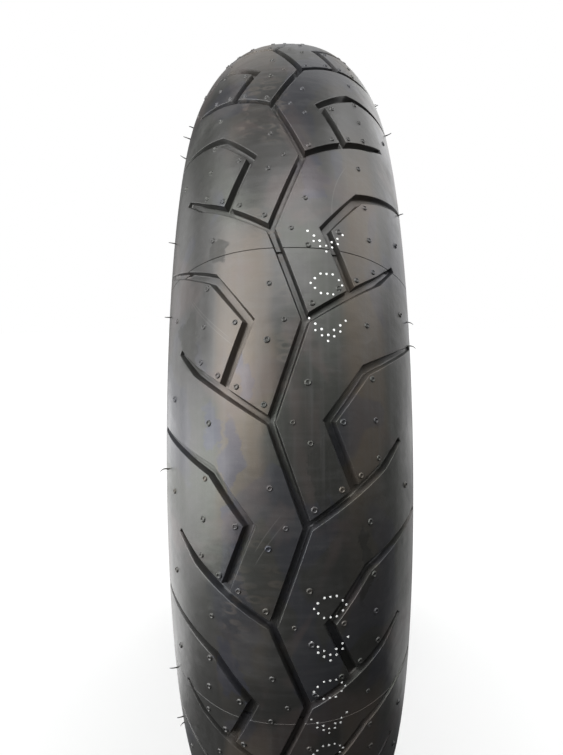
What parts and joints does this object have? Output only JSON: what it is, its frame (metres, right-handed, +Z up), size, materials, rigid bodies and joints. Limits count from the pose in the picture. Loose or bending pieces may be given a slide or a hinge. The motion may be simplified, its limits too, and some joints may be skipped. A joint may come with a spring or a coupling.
{
  "type": "motorcycle tire",
  "caption": "Bare radial motorcycle front tyre: rounded tread with zigzag and hooked grooves over belt, plies, liner, sidewalls and beads.",
  "frame": {"origin": "wheel centre: the middle of the tyre on its axle line", "axes": "+Y along the axle, +Z up with the tyre standing upright, +X across the wheel in the tread's plane"},
  "size_m": [0.5996, 0.12, 0.6],
  "materials": {
    "tread_rubber": "dark grey moulded tread rubber, semi-matt with a faint sheen and handling stains",
    "under_tread_rubber": "matt black bonding rubber",
    "belt_cord": "brassed steel cords wound side by side and coated in rubber",
    "carcass_cord": "rayon cords coated in rubber",
    "liner_rubber": "smooth satin butyl rubber with moulded bladder ribs",
    "sidewall_rubber": "satin moulded sidewall rubber",
    "bead_steel": "bronze coated bead wire",
    "wrap_fabric": "woven nylon tape coated in rubber",
    "filler_rubber": "hard matt black rubber",
    "chafer_fabric": "square-woven cord strip coated in rubber",
    "rim_strip_rubber": "hard smooth satin rubber"
  },
  "bodies": {
    "root": {"tread_cap": "tread_rubber", "tread_base": "under_tread_rubber", "zero_degree_belt": "belt_cord", "belt_edge_wedge_right": "under_tread_rubber", "belt_edge_wedge_left": "under_tread_rubber", "outer_carcass_ply": "carcass_cord", "inner_carcass_ply": "carcass_cord", "inner_liner": "liner_rubber", "sidewall_right": "sidewall_rubber", "sidewall_left": "sidewall_rubber", "bead_core_right": "bead_steel", "bead_core_left": "bead_steel", "bead_wrap_right": "wrap_fabric", "bead_wrap_left": "wrap_fabric", "bead_filler_right": "filler_rubber", "bead_filler_left": "filler_rubber", "chafer_right": "chafer_fabric", "chafer_left": "chafer_fabric", "rim_strip_right": "rim_strip_rubber", "rim_strip_left": "rim_strip_rubber"}
  },
  "joints": []
}
